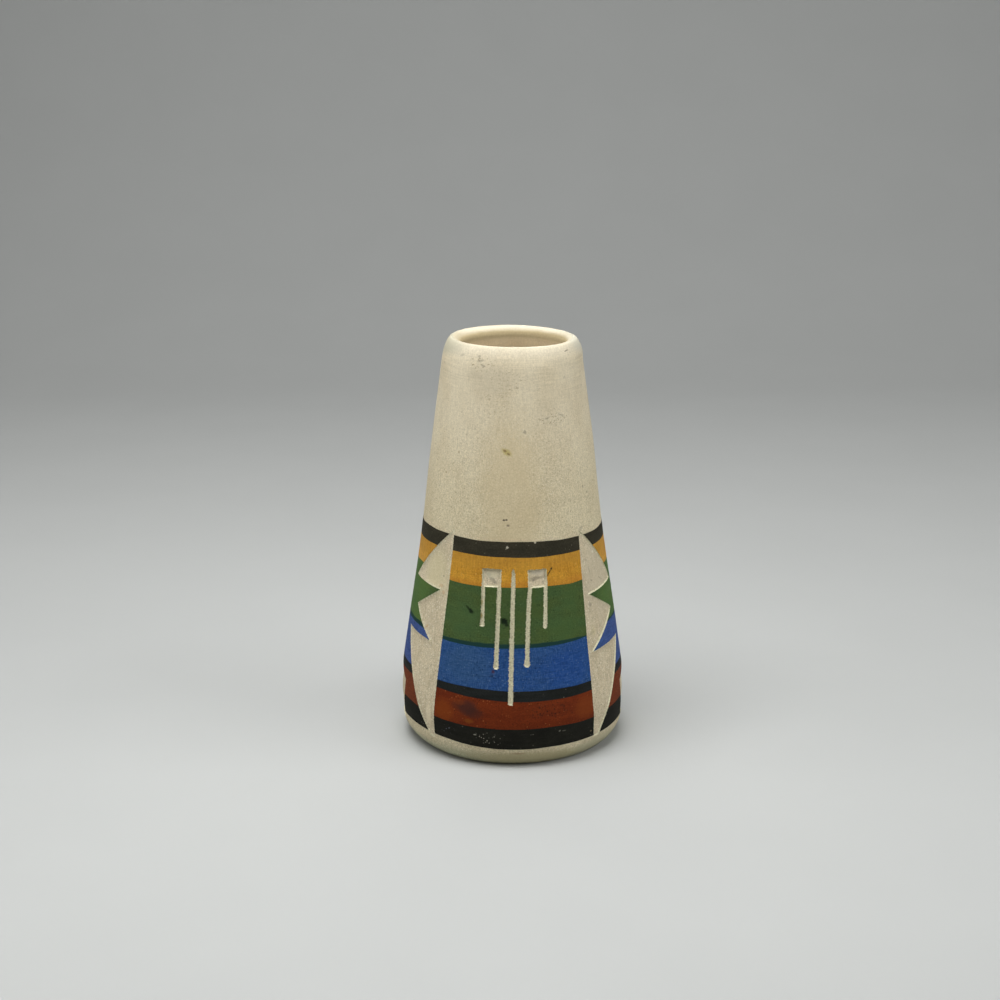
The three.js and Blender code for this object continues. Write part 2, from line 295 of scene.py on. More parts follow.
def turned(outline, angle):
    return [[a + angle, z] for a, z in outline]


def mirrored(outline):
    return [[-a, z] for a, z in reversed(outline)]


def curve(start, end, bulge, count=12):
    """Points from start to end, bulging to one side by that share of a millimetre at the middle."""
    start, end = np.array(start, float), np.array(end, float)
    along = (end - start) * [PLANE_SCALE, 1]
    side = np.array([-along[1], along[0]]) / np.hypot(*along) / [PLANE_SCALE, 1]
    t = np.linspace(0, 1, count + 1)[:-1, None]
    return list(start + (end - start) * t + side * bulge * 4 * t * (1 - t))


def blade(spine, foot, low_tip, low_notch, middle_tip, high_notch, high_tip, bulges, side):
    """Serrated blade beside a comb panel, with corners as [azimuth, height].

    The spine runs from the apex down to the foot. The bulges are those of the low tooth, the middle
    tooth and the upper edge. Side is 1 on the right and -1 on the left.
    """
    low_bulge, middle_bulge, back = bulges
    teeth = [low_tip, low_notch, middle_tip, high_notch, high_tip]
    path = [spine[-1], [foot, FOOT_LINE], *teeth, *spine]
    bends = [0, low_bulge, -0.15, middle_bulge, 0, 0.1, back, *[0] * (len(spine) - 1)]
    outline = [p for start, end, bulge in zip(path, path[1:], bends) for p in curve(start, end, bulge)]
    return [[side * a, z] for a, z in outline]


def prong(top, top_azimuth, foot, shift, width, bead, bow=1.0):
    """One prong of the comb, from its top left corner round a beaded end to its top right corner.

    Its foot lies to one side by the shift. A bow under 1 takes most of the shift near the top.
    """
    half = width / 2
    end = foot + half * PLANE_SCALE * bead
    fall = np.linspace(0, 1, 12)[:-1]
    axis = top_azimuth + shift * fall**bow
    heights = top + (end - top) * fall
    left = [[a - half, z] for a, z in zip(axis, heights)]
    right = [[a + half, z] for a, z in zip(axis, heights)]
    turn = np.linspace(-1.5, 1.5, 9)
    middle = top_azimuth + shift
    reach = bead * half
    around = [[middle + reach * math.sin(t), end - reach * PLANE_SCALE * math.cos(t)] for t in turn]
    return [*left, *around, *reversed(right)]


def comb_half(square_left, square_right, square_foot, square_top, left_prong, right_prong):
    """Square with a prong under each lower corner, a prong being [foot, shift, width, bead, bow]."""
    left_width, right_width = left_prong[2], right_prong[2]
    left = prong(square_foot, square_left + left_width / 2, *left_prong)
    right = prong(square_foot, square_right - right_width / 2, *right_prong)
    return [[square_left, square_top], *left, *right, [square_right, square_top]]


def middle_prong(top, top_azimuth, foot, shift, width, bead, bow):
    """Middle prong of the comb, with a blunt point at the top."""
    half = width / 2
    body = prong(top - 4.5, top_azimuth, foot, shift, width, bead, bow)
    right = [[0.93, 2.6], [0.75, 1.1], [0.4, 0.25]]
    point = [*right, [0, 0], *mirrored(right)]
    return [*body, *[[top_azimuth + half * across, top - down] for across, down in point]]


def gable(half_angle, foot_half_angle, eaves, side_foot, ridge):
    """Gabled field, centred on azimuth zero."""
    right = [[foot_half_angle, FOOT_LINE], [half_angle, side_foot], [half_angle, eaves]]
    return [*right, [0, ridge], *mirrored(right)]


LEFT_BLADE = blade(
    [[41.2, BLADE_TOP + 0.9], [45.3, FOOT_LINE]], 48.2,
    [79.4, 44.0], [53.2, 43.0], [71.3, 53.6], [49.0, 62.2], [79.4, 63.1], [-0.25, -0.3, -0.7], -1,
)
RIGHT_BLADE = blade(
    [[44.2, BLADE_TOP], [42.35, 46], [42.4, 22], [43.95, FOOT_LINE]], 48.0,
    [77.6, 40.0], [46.4, 39.4], [73.0, 51.3], [48.2, 60.1], [81.0, 61.0], [0.75, 0.0, -0.9], 1,
)
LEFT_SQUARE = [-20.3, -8.6, 66.35, 72.9]
RIGHT_SQUARE = [7.05, 18.7, 66.15, 72.65]
LEFT_COMB = comb_half(*LEFT_SQUARE, [52.1, 0.25, 2.15, 1.3, 1.0], [37.3, -0.9, 2.35, 1.25, 1.0])
RIGHT_COMB = comb_half(*RIGHT_SQUARE, [38.0, -2.7, 2.35, 1.3, 0.6], [51.4, -1.5, 2.3, 1.1, 1.0])
MIDDLE_PRONG = middle_prong(72.9, -1.55, 24.4, -1.5, 2.4, 1.1, 0.75)
RIGHT_GABLE = gable(18.1, 12.5, 23.1, 17.4, 28)
LEFT_GABLE = gable(15.4, 11.4, 23.5, 17.7, 28)


# Chips along an edge: [depth of a chip, least and greatest width, step between the outline's points]
BLADE_CHIPS = [0.15, 0.6, 1.5, BLADE_STEP]
PRONG_CHIPS = [0.42, 0.34, 0.8, PRONG_STEP]

FRONT_FIGURES = [
    *[(outline, BLADE_CHIPS, BLADE_DEPTH) for outline in (LEFT_BLADE, RIGHT_BLADE)],
    *[(outline, PRONG_CHIPS, PRONG_DEPTH) for outline in (LEFT_COMB, RIGHT_COMB, MIDDLE_PRONG)],
]
FIGURES = [
    *FRONT_FIGURES,
    *[(turned(mirrored(outline), 180), chips, depth) for outline, chips, depth in FRONT_FIGURES],
    (turned(RIGHT_GABLE, 90), BLADE_CHIPS, GABLE_DEPTH),
    (turned(LEFT_GABLE, -90), BLADE_CHIPS, GABLE_DEPTH),
]


# The decorated zone, drawn flat in the plane (azimuth * PLANE_SCALE, height)

def into_domain(outline):
    """Outline in the plane, shifted by whole turns so that it lies left of the seam."""
    points = np.array(outline, float)
    while points[:, 0].max() > SEAM_AZIMUTH:
        points[:, 0] -= 360
    return points * [PLANE_SCALE, 1]


def densified(points, step):
    """Closed outline with points at most a step apart."""
    result = []
    for p, q in zip(points, np.roll(points, -1, axis=0)):
        count = max(1, math.ceil(np.hypot(*(q - p)) / step))
        result.extend(p + (q - p) * k / count for k in range(count))
    return np.array(result)


def sideways(points):
    """Unit vectors to the right of a closed outline's direction."""
    ahead = np.roll(points, -1, axis=0) - np.roll(points, 1, axis=0)
    length = np.maximum(np.hypot(ahead[:, 0], ahead[:, 1]), 1e-6)
    return np.stack([ahead[:, 1], -ahead[:, 0]], 1) / length[:, None]


def chipped(points, amount, least, most, rng):
    """Outline with small outward chips of uneven width and size along it."""
    along = np.concatenate([[0], np.cumsum(np.hypot(*np.diff(points, axis=0).T))])
    ends = np.cumsum(rng.uniform(least, most, int(along[-1] / least) + 2))
    chip = np.searchsorted(ends, along)
    width = np.diff(ends, prepend=0)[chip]
    phase = 1 - (ends[chip] - along) / width
    bump = np.sin(math.pi * phase) * rng.uniform(0.2, 1, len(ends))[chip] - 0.35
    offset = (bump + rng.uniform(-0.15, 0.15, len(points))) * amount
    return points + sideways(points) * offset[:, None]


def distance_inside(points, outline):
    """Distance of each point from a closed outline, positive inside it. Far points get -9."""
    result = np.full(len(points), -9.0)
    margin = 1.5
    low, high = outline.min(0) - margin, outline.max(0) + margin
    near = np.flatnonzero(((points > low) & (points < high)).all(1))
    if not len(near):
        return result
    start = outline
    end = np.roll(outline, -1, axis=0)
    run = end - start
    for part in np.array_split(near, max(1, len(near) // 2000)):
        p = points[part][:, None, :]
        t = np.clip(((p - start) * run).sum(2) / np.maximum((run**2).sum(1), 1e-12), 0, 1)
        gap = np.sqrt((((p - start) - t[..., None] * run) ** 2).sum(2)).min(1)
        rises = (start[:, 1] > p[..., 1]) != (end[:, 1] > p[..., 1])
        height = np.where(np.abs(run[:, 1]) < 1e-12, 1e-12, run[:, 1])
        crossing = start[:, 0] + (p[..., 1] - start[:, 1]) * run[:, 0] / height
        inside = (rises & (p[..., 0] < crossing)).sum(1) % 2 == 1
        result[part] = np.where(inside, gap, -gap)
    return result


def line_heights(edge, drift, azimuth, rng):
    """A hand-drawn line round the vase: it closes on itself, drifts and wanders a little."""
    height = np.full(len(azimuth), edge)
    for waves in (1, 2, 3, 5, 8, 13, 21, 34):
        phase = rng.uniform(0, 2 * math.pi)
        wave = LINE_WANDER / waves**0.3 * rng.uniform(0.3, 1)
        height += wave * np.sin(np.radians(azimuth) * waves + phase)
    for shift in (-8, -4, 0, 4, 8):
        height += np.interp(wrapped(azimuth) + shift, DRIFT_AZIMUTHS, drift) / 5
    return height


def decorated_zone():
    """Triangulated plane of the decorated zone, with figure outlines and band lines as edges in it."""
    rng = np.random.RandomState(7)
    outlines = []
    for outline, (amount, least, most, step), _ in FIGURES:
        outlines.append(chipped(densified(into_domain(outline), step), amount, least, most, rng))
    points, edges = [], []

    def add_line(line, closed):
        first = len(points)
        points.extend(map(tuple, line))
        last = len(points)
        edges.extend((i, i + 1) for i in range(first, last - 1))
        if closed:
            edges.append((last - 1, first))

    for outline in outlines:
        add_line(outline, True)
    across = np.linspace(LEFT_SEAM, RIGHT_SEAM, SEGMENTS + 1)
    for height in (PATCH_LOW, PATCH_HIGH):
        add_line(np.stack([across, np.full(len(across), height)], 1), False)
    line_x = steps(LEFT_SEAM, RIGHT_SEAM, LINE_STEP)
    lines = []
    for edge, drift in zip(EDGES, LINE_DRIFTS):
        line = np.stack([line_x, line_heights(edge, drift, line_x / PLANE_SCALE, rng)], 1)
        line[-1, 1] = line[0, 1]
        lines.append(line)
        add_line(line, False)
    heights = steps(PATCH_LOW, PATCH_HIGH, FIELD_STEP)[1:-1]
    heights = [z for z in heights if min(abs(z - line[0, 1]) for line in lines) > FIELD_STEP / 3]
    for x in (LEFT_SEAM, RIGHT_SEAM):
        points.extend((x, z) for z in heights)

    offsets = [share * CARVE_WALL_RUN for share in WALL_RINGS]
    loose = [outline + sideways(outline) * offset for outline in outlines for offset in offsets]
    ring = np.concatenate([np.full(len(outline), offset) for outline in outlines for offset in offsets])
    for i, z in enumerate(steps(PATCH_LOW, PATCH_HIGH, FIELD_STEP * ROW_SHARE)[1:-1]):
        start = LEFT_SEAM + FIELD_STEP * (0.75 if i % 2 else 1.25)
        x = np.arange(start, RIGHT_SEAM - FIELD_STEP / 2, FIELD_STEP)
        loose.append(np.stack([x, np.full(len(x), z)], 1))
    loose = np.concatenate(loose)
    inside = np.max([distance_inside(loose, outline) for outline in outlines], axis=0)
    keep = np.ones(len(loose), bool)
    keep[: len(ring)] = np.abs(inside[: len(ring)] + ring) < 0.2 * np.abs(ring) + 0.005
    grid = np.arange(len(loose)) >= len(ring)
    keep &= ~(grid & (np.abs(inside) < OUTLINE_CLEAR))
    for line in lines:
        away = np.abs(loose[:, 1] - np.interp(loose[:, 0], line[:, 0], line[:, 1]))
        keep &= ~((away < LINE_CLEAR) & grid)
        keep &= away > LINE_TOUCH
    keep &= (loose[:, 0] > LEFT_SEAM + SEAM_CLEAR) & (loose[:, 0] < RIGHT_SEAM - SEAM_CLEAR)
    points.extend(map(tuple, loose[keep]))

    found = delaunay_2d_cdt([Vector(p) for p in points], edges, [], 0, 1e-5, False)
    plane = np.array([tuple(v) for v in found[0]])
    triangles = np.array(found[2])
    return plane, triangles, outlines, lines


def classify(plane, triangles, outlines, lines):
    """For each triangle the number of its band, or its kind of unpainted clay."""
    centre = plane[triangles].mean(1)
    kind = np.full(len(triangles), BARE)
    for i in range(len(PAINTS)):
        low = np.interp(centre[:, 0], lines[i][:, 0], lines[i][:, 1])
        high = np.interp(centre[:, 0], lines[i + 1][:, 0], lines[i + 1][:, 1])
        kind[(centre[:, 1] > low) & (centre[:, 1] < high)] = i
    for outline, (_, chips, _) in zip(outlines, FIGURES):
        inside = distance_inside(centre, outline)
        # Painted highlight: lighter clay near the pocket's edge, and over the prongs
        highlit = inside < HIGHLIGHT_BAND
        if chips is PRONG_CHIPS:
            narrow = np.ptp(outline[:, 0]) < 5 * PLANE_SCALE
            highlit |= narrow | (centre[:, 1] < SQUARE_FOOT)
        kind[inside > 0] = POCKET_FLOOR
        kind[(inside > 0) & highlit] = HIGHLIT_CUT
    return kind


def on_wall(plane, offset):
    """Points in space, in millimetres, from points of the plane and their distance outside the wall."""
    azimuth = np.radians(plane[:, 0] / PLANE_SCALE)
    r = outer_radius(plane[:, 1]) + offset
    return uneven(np.stack([r * np.sin(azimuth), -r * np.cos(azimuth), plane[:, 1]], 1))


def scoop(plane):
    """Extra hollow of the combs' squares: full under the top edge, and rising to nothing at the foot."""
    result = np.zeros(len(plane))
    for left, right, foot, top in (LEFT_SQUARE, RIGHT_SQUARE):
        half = (right - left) / 2
        for middle in (left + half, 180 - left - half):
            across = np.abs(wrapped(plane[:, 0] / PLANE_SCALE - middle)) * PLANE_SCALE
            sides = eased((half * PLANE_SCALE + 0.3 - across) / 0.9)
            rise = eased((plane[:, 1] - foot) / 3.0) * (1 - 0.15 * eased((plane[:, 1] - foot - 2.6) / 4))
            result = np.maximum(result, sides * np.where(plane[:, 1] < top + 0.5, rise, 0))
    return result


def carved(plane, outlines):
    """Depth of the carving at each point of the plane."""
    result = np.zeros(len(plane))
    extra = SCOOP_DEPTH * scoop(plane)
    for outline, (_, _, depth) in zip(outlines, FIGURES):
        inward = eased(distance_inside(plane, outline) / CARVE_WALL_RUN)
        result = np.maximum(result, (depth + extra) * inward)
    return result


def placed(name, data):
    """New object in the scene, with that mesh, lamp or camera."""
    made = bpy.data.objects.new(name, data)
    bpy.context.scene.collection.objects.link(made)
    return made


def new_mesh(name, points, faces, materials, face_materials=None, sharp=50):
    """Object at the origin with its place in its mesh."""
    mesh = bpy.data.meshes.new(name)
    mesh.from_pydata([tuple(p) for p in np.asarray(points) * MM], [], [tuple(f) for f in faces])
    for material in materials:
        mesh.materials.append(material)
    if face_materials is not None:
        mesh.polygons.foreach_set("material_index", np.asarray(face_materials, np.int32))
    mesh.polygons.foreach_set("use_smooth", np.ones(len(mesh.polygons), bool))
    mesh.update()
    mesh.set_sharp_from_angle(angle=math.radians(sharp))
    mesh.validate()
    return placed(name, mesh)


# Clay body

def merged(points, faces):
    """Points within a ten-thousandth of a millimetre made one, and faces renumbered."""
    keys = {}
    number = np.empty(len(points), int)
    kept = []
    for i, key in enumerate(map(tuple, np.round(points, 4))):
        if key not in keys:
            keys[key] = len(kept)
            kept.append(points[i])
        number[i] = keys[key]
    return np.array(kept), [tuple(number[list(f)]) for f in faces]


def clay_body(zone, kind, materials):
    """The whole clay body: decorated zone, foot and base, upper wall, lip, inner wall and floor."""
    plane, triangles, outlines, lines = zone
    points = [on_wall(plane, -carved(plane, outlines))]
    faces = [tuple(t) for t in triangles]
    finish = [{POCKET_FLOOR: CARVED, HIGHLIT_CUT: LIT_CUT}.get(k, WALL) for k in kind]
    first = len(plane)
    azimuths = np.radians(np.linspace(SEAM_AZIMUTH - 360, SEAM_AZIMUTH, SEGMENTS + 1)[:-1])

    def add_rings(profile, centre, from_centre, inside_from, shifts):
        nonlocal first
        rings = np.array([[[r * math.sin(a), -r * math.cos(a), z] for a in azimuths] for r, z in profile])
        rings[:, :, 0] += np.array(shifts)[:, None]
        points.append(uneven(rings.reshape(-1, 3)))
        points.append(uneven([[shifts[-1], 0, centre]]))
        hub = first + len(profile) * SEGMENTS
        for i in range(len(profile) - 1):
            for k in range(SEGMENTS):
                a, b = first + i * SEGMENTS + k, first + i * SEGMENTS + (k + 1) % SEGMENTS
                faces.append((a, b, b + SEGMENTS, a + SEGMENTS))
                finish.append(INSIDE if i >= inside_from else WALL)
        row = first if from_centre else first + (len(profile) - 1) * SEGMENTS
        for k in range(SEGMENTS):
            a, b = row + k, row + (k + 1) % SEGMENTS
            faces.append((hub, b, a) if from_centre else (hub, a, b))
            finish.append(WALL if from_centre else INSIDE)
        first = hub + 1

    lower = lower_profile()
    upper = upper_profile()
    mouth = next(i for i in range(1, len(upper)) if upper[i][1] < upper[i - 1][1])
    shifts = MOUTH_SHIFT * eased((np.arange(len(upper)) - mouth + 1) / 14)
    add_rings(lower, 0.0, True, len(lower), np.zeros(len(lower)))
    add_rings(upper, FLOOR_THICKNESS, False, mouth + 1, shifts)
    points, faces = merged(np.concatenate(points), faces)
    return new_mesh("clay_body", points, faces, materials, finish, 57)


# Painted fields

def components(triangles):
    """Groups of triangles joined through their corners."""
    parent = {}

    def root(i):
        while parent.setdefault(i, i) != i:
            parent[i] = parent[parent[i]]
            i = parent[i]
        return i

    for a, b, c in triangles:
        parent[root(a)] = root(b)
        parent[root(b)] = root(c)
    groups = {}
    for t in triangles:
        groups.setdefault(root(t[0]), []).append(t)
    return [np.array(g) for g in groups.values()]


def coat(name, plane, triangles, material):
    """Closed thin coat of paint on the wall over those triangles, a little thinner at its edge."""
    used, local = np.unique(triangles, return_inverse=True)
    local = local.reshape(-1, 3)
    sides = np.concatenate([local[:, [0, 1]], local[:, [1, 2]], local[:, [2, 0]]])
    there = set(map(tuple, sides))
    border = [(a, b) for a, b in there if (b, a) not in there]
    top = np.full(len(used), PAINT_TOP)
    top[[a for a, b in border]] = PAINT_EDGE_TOP
    count = len(used)
    points = np.concatenate([on_wall(plane[used], top), on_wall(plane[used], PAINT_FOOT)])
    faces = [tuple(t) for t in local]
    faces += [(a + count, c + count, b + count) for a, b, c in local]
    faces += [(b, a, a + count, b + count) for a, b in border]
    return new_mesh(name, points, faces, [material])


def joined_over_seam(plane, triangles):
    """Triangles with the right border's corners renumbered as the left border's."""
    left, right = (np.flatnonzero(np.abs(plane[:, 0] - x) < 1e-6) for x in (LEFT_SEAM, RIGHT_SEAM))
    at_left = {round(plane[i, 1], 4): i for i in left}
    number = np.arange(len(plane))
    for i in right:
        number[i] = at_left[round(plane[i, 1], 4)]
    return number[triangles]


def painted_fields(zone, kind, paints):
    """One coat for each painted CAD field, matched from left to right within its panel."""
    plane, triangles, outlines, lines = zone
    triangles = joined_over_seam(plane, triangles)
    pieces = []
    for band, paint in enumerate(PAINTS):
        by_panel = {panel: [] for panel in PANELS}
        for group in components(triangles[kind == band]):
            if len(group) < SLIVER:
                continue
            place = on_wall(plane[np.unique(group)], 0).mean(0)
            azimuth = math.degrees(math.atan2(place[0], -place[1]))
            panel = min(PANELS, key=lambda p: abs(wrapped(azimuth - PANELS[p])))
            by_panel[panel].append((wrapped(azimuth - PANELS[panel]), group))
        for panel, groups in by_panel.items():
            groups.sort(key=lambda g: g[0])
            nodes = band_nodes(panel, paint)
            if len(nodes) != len(groups):
                raise ValueError(f"{panel} {paint}: {len(groups)} fields for {nodes}")
            for node, (_, group) in zip(nodes, groups):
                piece = coat(f"{node}_coat", plane, group, paints[paint])
                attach(piece, "root")
                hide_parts(node)
                pieces.append(piece)
    return pieces


# Materials

class Finish:
    """A node material, with short helpers for the textures that the surfaces share."""

    def __init__(self, name, roughness, specular):
        self.material = bpy.data.materials.new(name)
        self.material.use_nodes = True
        self.tree = self.material.node_tree
        self.shader = self.tree.nodes["Principled BSDF"]
        self.shader.inputs["Roughness"].default_value = roughness
        self.shader.inputs["Specular IOR Level"].default_value = specular
        self.place = self.tree.nodes.new("ShaderNodeTexCoord").outputs["Object"]

    def node(self, kind, inputs, **settings):
        made = self.tree.nodes.new(kind)
        for key, value in settings.items():
            setattr(made, key, value)
        for key, value in inputs.items():
            socket = made.inputs[key]
            if isinstance(value, bpy.types.NodeSocket):
                self.tree.links.new(value, socket)
            else:
                socket.default_value = value
        return made

    def vector(self, operation, a, b):
        return self.node("ShaderNodeVectorMath", {0: a, 1: b}, operation=operation).outputs[0]

    def stretched(self, wide, tall, shift):
        """Place divided by a width and height in millimetres, then shifted."""
        scaled = self.vector("MULTIPLY", self.place, [1 / (size * MM) for size in (wide, wide, tall)])
        return self.vector("ADD", scaled, (shift, shift, shift))

    def noise(self, wide, tall, rough=0.5, shift=0, detail=2):
        """Noise from 0 to 1, with features of about that width and height in millimetres."""
        where = self.stretched(wide, tall, shift)
        inputs = {"Vector": where, "Scale": 1, "Detail": detail, "Roughness": rough}
        return self.node("ShaderNodeTexNoise", inputs).outputs["Fac"]

    def dots(self, cell, share, radius, shift):
        """Mask of round dots: that share of the cells holds one. Cell in millimetres, radius in cells."""
        where = self.stretched(cell, cell, shift)
        cells = self.node("ShaderNodeTexVoronoi", {"Vector": where, "Scale": 1})
        chance = self.node("ShaderNodeSeparateColor", {0: cells.outputs["Color"]}).outputs[0]
        chosen = self.math("LESS_THAN", chance, share)
        return self.times(self.ramp(cells.outputs["Distance"], radius, radius * 0.5), chosen)

    def ramp(self, value, low, high, to_low=0, to_high=1):
        """Smooth step of a value between two limits."""
        inputs = {"Value": value, "From Min": low, "From Max": high, "To Min": to_low, "To Max": to_high}
        return self.node("ShaderNodeMapRange", inputs, interpolation_type="SMOOTHSTEP").outputs["Result"]

    def math(self, operation, a, b=0):
        return self.node("ShaderNodeMath", {0: a, 1: b}, operation=operation).outputs[0]

    def times(self, a, b):
        return self.math("MULTIPLY", a, b)

    def patchy(self, value, mask):
        """Noise value drawn towards its middle where the mask is low."""
        return self.math("ADD", self.times(self.math("SUBTRACT", value, 0.5), mask), 0.5)

    def wavering(self, value, amount, *noise):
        """Value plus an amount of noise, for the uneven edge of a ramp."""
        return self.math("ADD", value, self.times(self.noise(*noise), amount))

    def mix(self, factor, a, b, blend="MIX"):
        """Mix of two colours, each a socket or [r, g, b]."""
        inputs = {0: factor}
        for key, colour in ((6, a), (7, b)):
            inputs[key] = colour if isinstance(colour, bpy.types.NodeSocket) else (*colour, 1)
        return self.node("ShaderNodeMix", inputs, data_type="RGBA", blend_type=blend).outputs[2]

    def clouded(self, colour, cloud, low, high, tint):
        """Colour tinted where a noise value is high."""
        return self.mix(self.ramp(cloud, low, high), colour, self.mix(1, colour, tint, "MULTIPLY"))

    def spotted(self, colour, mask, spot, strength):
        """Colour mixed towards a spot colour where the mask is, by a strength."""
        return self.mix(self.times(mask, strength), colour, spot)

    def dotted(self, colour, shape, dots, spot, strength):
        """Colour with dots of a spot colour inside one mark."""
        return self.spotted(colour, self.times(self.mark(*shape), self.dots(*dots)), spot, strength)

    def blemished(self, colour, blemishes):
        """Colour with blemishes, each [azimuth, height, half sizes, colour, strength, edge, tilt]."""
        for azimuth, height, wide, tall, spot, strength, *rest in blemishes:
            colour = self.spotted(colour, self.mark(azimuth, height, wide, tall, *rest), spot, strength)
        return colour

    def shade(self, colour, value, low, high, darkest, lightest):
        """Colour multiplied by a grey that runs with a noise value."""
        return self.mix(1, colour, self.ramp(value, low, high, darkest, lightest), "MULTIPLY")

    def mark(self, azimuth, height, wide, tall, ragged_edge=0.5, tilt=0):
        """Mask of one blemish: 1 inside a tilted ellipse of those half sizes, with a ragged edge."""
        a = math.radians(azimuth)
        r = float(outer_radius(height))
        centre = Vector((r * math.sin(a), -r * math.cos(a), height)) * MM
        away = self.vector("SUBTRACT", self.place, centre)
        for axis, angle in (((0, 0, 1), -a), ((0, 1, 0), math.radians(tilt))):
            inputs = {"Vector": away, "Axis": axis, "Angle": angle}
            away = self.node("ShaderNodeVectorRotate", inputs, rotation_type="AXIS_ANGLE").outputs[0]
        away = self.vector("MULTIPLY", away, [1 / (wide * MM), 0.05 / MM, 1 / (tall * MM)])
        length = self.node("ShaderNodeVectorMath", {0: away}, operation="LENGTH").outputs["Value"]
        length = self.wavering(length, ragged_edge * 2, 0.5, 0.5, 0.6, azimuth)
        return self.ramp(length, 1 + ragged_edge * 1.3, 0.6 + ragged_edge * 0.7)

    def along(self, axis):
        """Place along one axis, in millimetres."""
        parts = self.node("ShaderNodeSeparateXYZ", {0: self.place})
        return self.math("DIVIDE", parts.outputs[axis], MM)

    def at_side(self):
        """Mask of the panels at the left and right: 0 on the front and back, 1 beyond the blades."""
        return self.ramp(self.math("ABSOLUTE", self.along("X")), 28, 33)

    def bump(self, height, distance):
        """Relief in millimetres."""
        inputs = {"Height": height, "Distance": distance * MM, "Strength": 1}
        if self.shader.inputs["Normal"].is_linked:
            inputs["Normal"] = self.shader.inputs["Normal"].links[0].from_socket
        made = self.node("ShaderNodeBump", inputs)
        self.tree.links.new(made.outputs["Normal"], self.shader.inputs["Normal"])

    def colour(self, socket):
        self.tree.links.new(socket, self.shader.inputs["Base Color"])
        return self.material


HIGH_CLAY = [0.655, 0.58, 0.42]
LOW_CLAY = [0.635, 0.56, 0.38]
LIP_CLAY = [0.635, 0.57, 0.435]
# Painted shade of the foot, where it turns under towards the floor
SHADED_FOOT_CLAY = [0.455, 0.45, 0.305]
BASE_CLAY = [0.56, 0.5, 0.355]
CARVED_CLAY = [0.595, 0.515, 0.36]
# Painted highlight: lighter clay along the pockets' edges and on the prongs
LIT_CUT_CLAY = [0.655, 0.615, 0.43]
INNER_CLAY = [0.69, 0.57, 0.375]
# Painted shade: a darker tan band just inside the mouth
MOUTH_SHADE_TAN = [0.45, 0.37, 0.215]
GREY_DIRT = [0.22, 0.2, 0.155]
BROWN_DIRT = [0.22, 0.15, 0.07]
YELLOW_STAIN = [0.43, 0.35, 0.11]
DARK_SPECK = [0.06, 0.05, 0.035]
SPECKLE = [0.25, 0.2, 0.125]

WALL_BLEMISHES = [
    # The first two darken the rim at the left and the right: painted shade
    [-84, 148.8, 16, 5, [0.43, 0.405, 0.3], 0.85, 0.4],
    [88, 148.6, 14, 5, [0.46, 0.445, 0.36], 0.8, 0.4],
    [-20, 139, 10, 6, [0.5, 0.445, 0.33], 0.3, 0.6],
    [-3, 93, 13, 40, [0.565, 0.463, 0.28], 0.55, 0.6],
    [-6.3, 114.1, 2.3, 1.2, YELLOW_STAIN, 0.75, 0.5, -28],
    [-7.6, 114.6, 0.75, 0.45, BROWN_DIRT, 0.85, 0.5, -30],
    [-5, 113.5, 0.75, 0.4, BROWN_DIRT, 0.8, 0.5, -35],
    [-7.6, 90.3, 0.55, 0.4, DARK_SPECK, 0.9, 0.4],
    [-6.1, 90.4, 0.6, 0.35, DARK_SPECK, 0.9, 0.4, 5],
    [-5, 88.4, 0.7, 0.5, [0.16, 0.13, 0.09], 0.75, 0.6],
    [6.5, 121.1, 0.7, 0.8, GREY_DIRT, 0.6, 0.6, 20],
    [-29.2, 145.2, 1.6, 0.45, GREY_DIRT, 0.5, 0.7, 12],
    [-26.5, 143.6, 1.3, 0.4, GREY_DIRT, 0.5, 0.7, -20],
    [24, 125.3, 1.5, 0.4, GREY_DIRT, 0.4, 0.7, 20],
    [36, 125.9, 1.6, 0.4, GREY_DIRT, 0.4, 0.7, -15],
    [50, 147.4, 1.4, 0.26, GREY_DIRT, 0.85, 0.3, 8],
    [-30.7, 146.7, 0.6, 0.5, GREY_DIRT, 0.55, 0.6],
    [-48.3, 146.3, 1.2, 0.5, GREY_DIRT, 0.35, 0.6, 30],
    [-53.2, 104.4, 0.6, 0.4, BROWN_DIRT, 0.5],
    [-42.4, 112.6, 0.5, 0.5, BROWN_DIRT, 0.45],
    [52.3, 98.9, 0.5, 0.5, GREY_DIRT, 0.55],
    [56.7, 96.4, 0.5, 0.5, GREY_DIRT, 0.55],
    [46.4, 84.4, 1.4, 0.7, GREY_DIRT, 0.4, 0.6, 20],
    # These two darken the foot at the front and the right: painted shade
    [6, 3.2, 28, 3.6, [0.37, 0.32, 0.18], 0.8],
    [52, 4, 14, 5, [0.37, 0.34, 0.23], 0.6],
    [0.9, 5.8, 3, 0.45, [0.26, 0.18, 0.09], 0.5, 0.6],
]

SPECKLED = [
    [-29, 144.2, 6, 3.5, 0.85],
    [-8, 138.5, 9, 6, 0.6],
    [28, 124.9, 9, 2.2, 0.95],
    [-18, 130, 9, 7, 0.45],
    [-8, 92, 17, 10, 0.55],
    [20, 104, 9, 14, 0.45],
]


